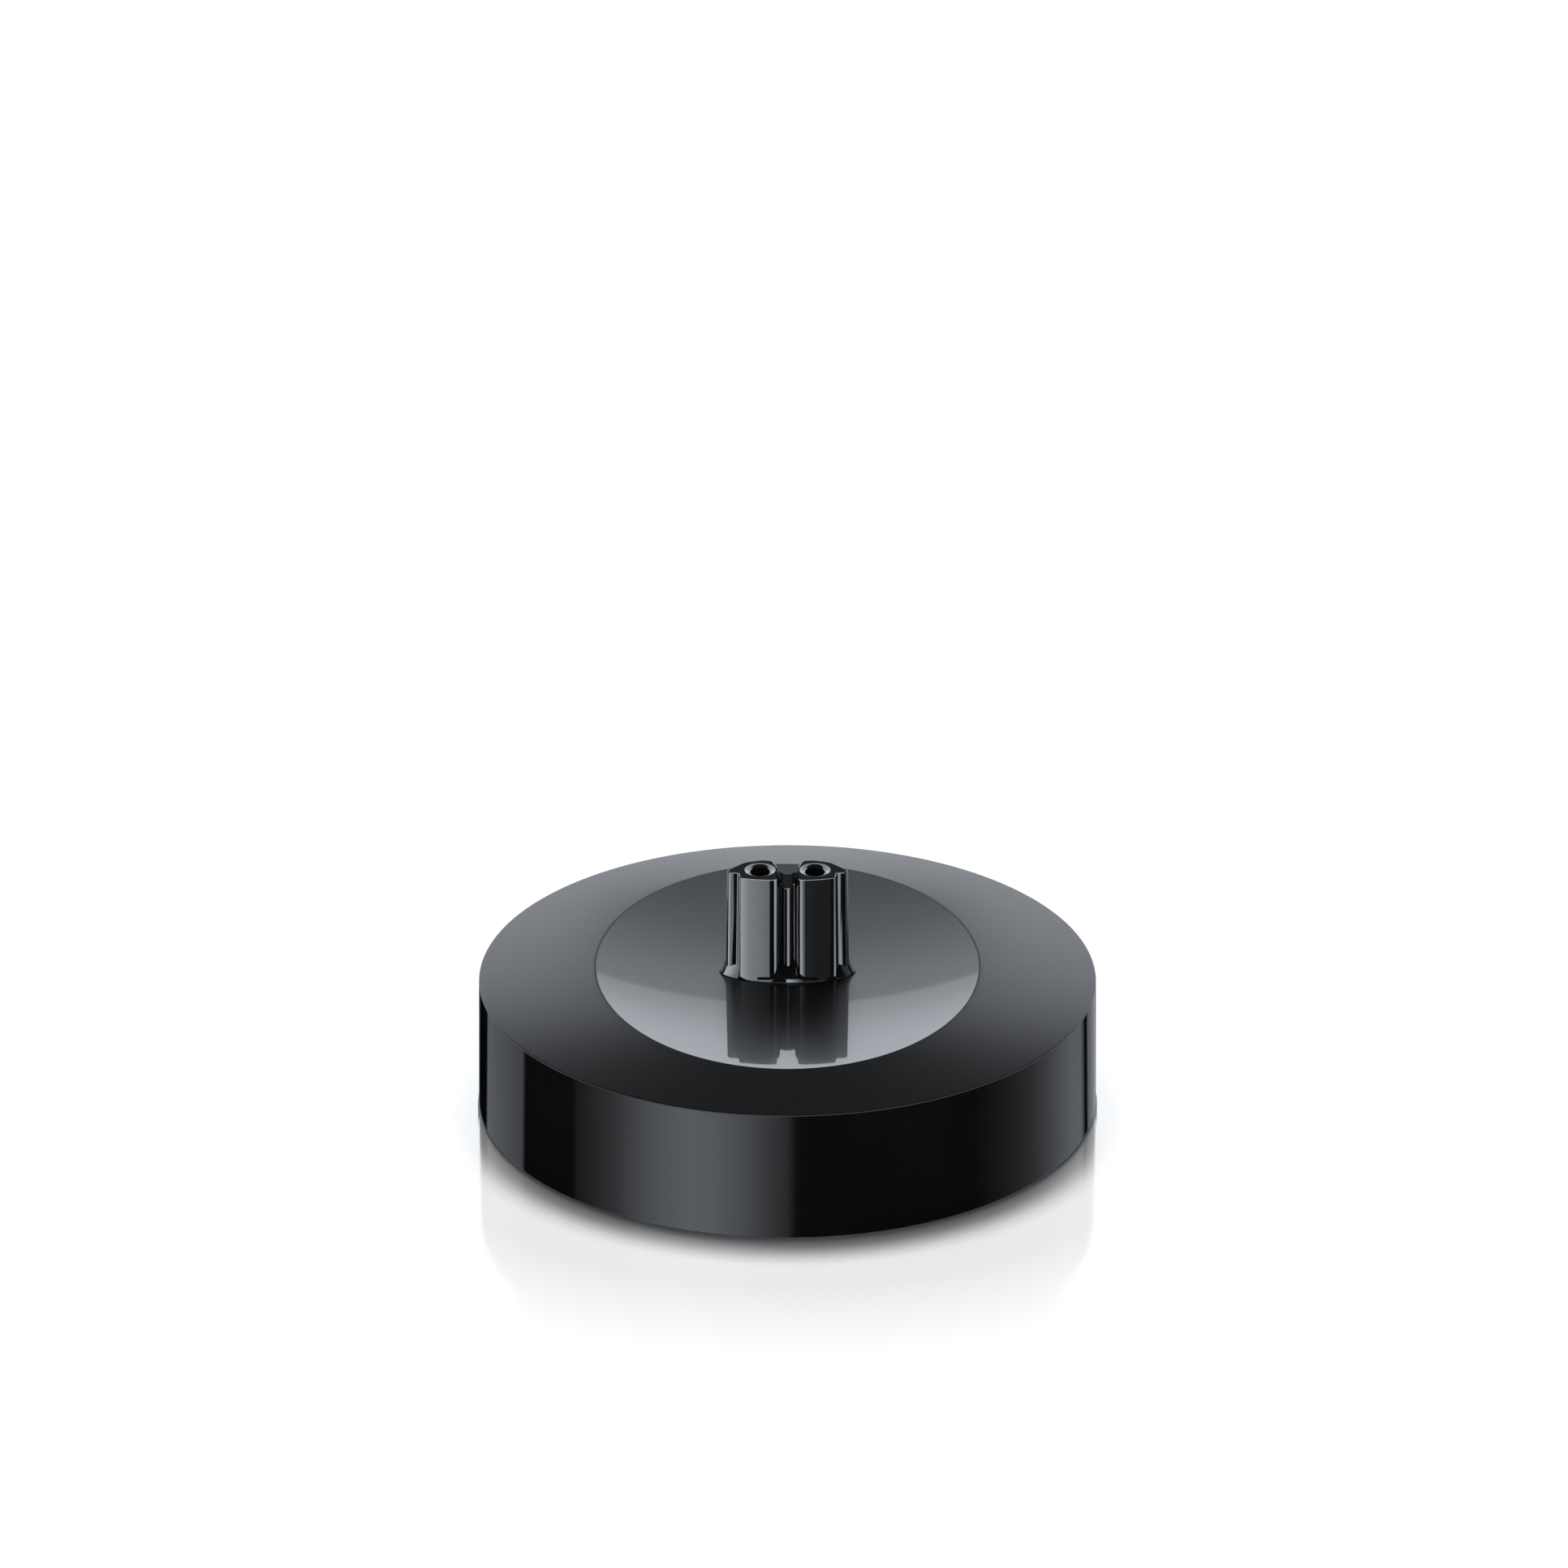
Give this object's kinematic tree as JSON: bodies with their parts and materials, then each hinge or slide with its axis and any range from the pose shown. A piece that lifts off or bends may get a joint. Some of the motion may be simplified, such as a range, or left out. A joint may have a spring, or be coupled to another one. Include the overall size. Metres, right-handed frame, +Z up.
{
  "type": "shaver charging stand",
  "caption": "Round weighted charging stand for a shaver, with a figure-eight plug standing in a polished oval seat and a cord inlet at the back.",
  "frame": {"origin": "on the table under the middle of the stand, at the lowest point of the feet", "axes": "+Z up along the plug, -Y the front, +Y the back with the cord inlet, X side to side along the plug's two poles"},
  "size_m": [0.0782, 0.0782, 0.0335],
  "materials": {
    "housing_black": "moulded ABS, polished side wall, fine spark-eroded grain on the sloping top",
    "seat_gloss": "piano-black polished acrylic",
    "plug_gloss": "polished black moulding",
    "adhesive_film": "pressure-sensitive film on a woven carrier",
    "seal_rubber": "soft matt silicone",
    "contact_brass": "turned, bright",
    "retainer_natural": "natural nylon, satin",
    "screw_steel": "zinc-plated",
    "inlet_black": "moulded, satin with a polished bezel",
    "pin_nickel": "nickel-plated brass",
    "lead_grey": "extruded insulation, satin",
    "lead_red": "extruded insulation, satin",
    "ballast_steel": "pressed plate, zinc-plated and passivated",
    "base_black": "moulded ABS, fine matt grain",
    "foot_rubber": "matt silicone rubber"
  },
  "bodies": {
    "root": {"top_housing": "housing_black", "seat_plate": "seat_gloss", "seat_film": "adhesive_film", "plug_tower": "plug_gloss", "tower_gasket": "seal_rubber", "left_contact": "contact_brass", "right_contact": "contact_brass", "contact_retainer": "retainer_natural", "tower_screws": "screw_steel", "inlet_socket": "inlet_black", "inlet_gasket": "seal_rubber", "left_pin": "pin_nickel", "right_pin": "pin_nickel", "left_lead": "lead_grey", "right_lead": "lead_red", "ballast_plate": "ballast_steel", "base_plate": "base_black", "base_seal": "seal_rubber", "base_screws": "screw_steel", "front_left_foot": "foot_rubber", "front_right_foot": "foot_rubber", "rear_left_foot": "foot_rubber", "rear_right_foot": "foot_rubber"}
  },
  "joints": []
}
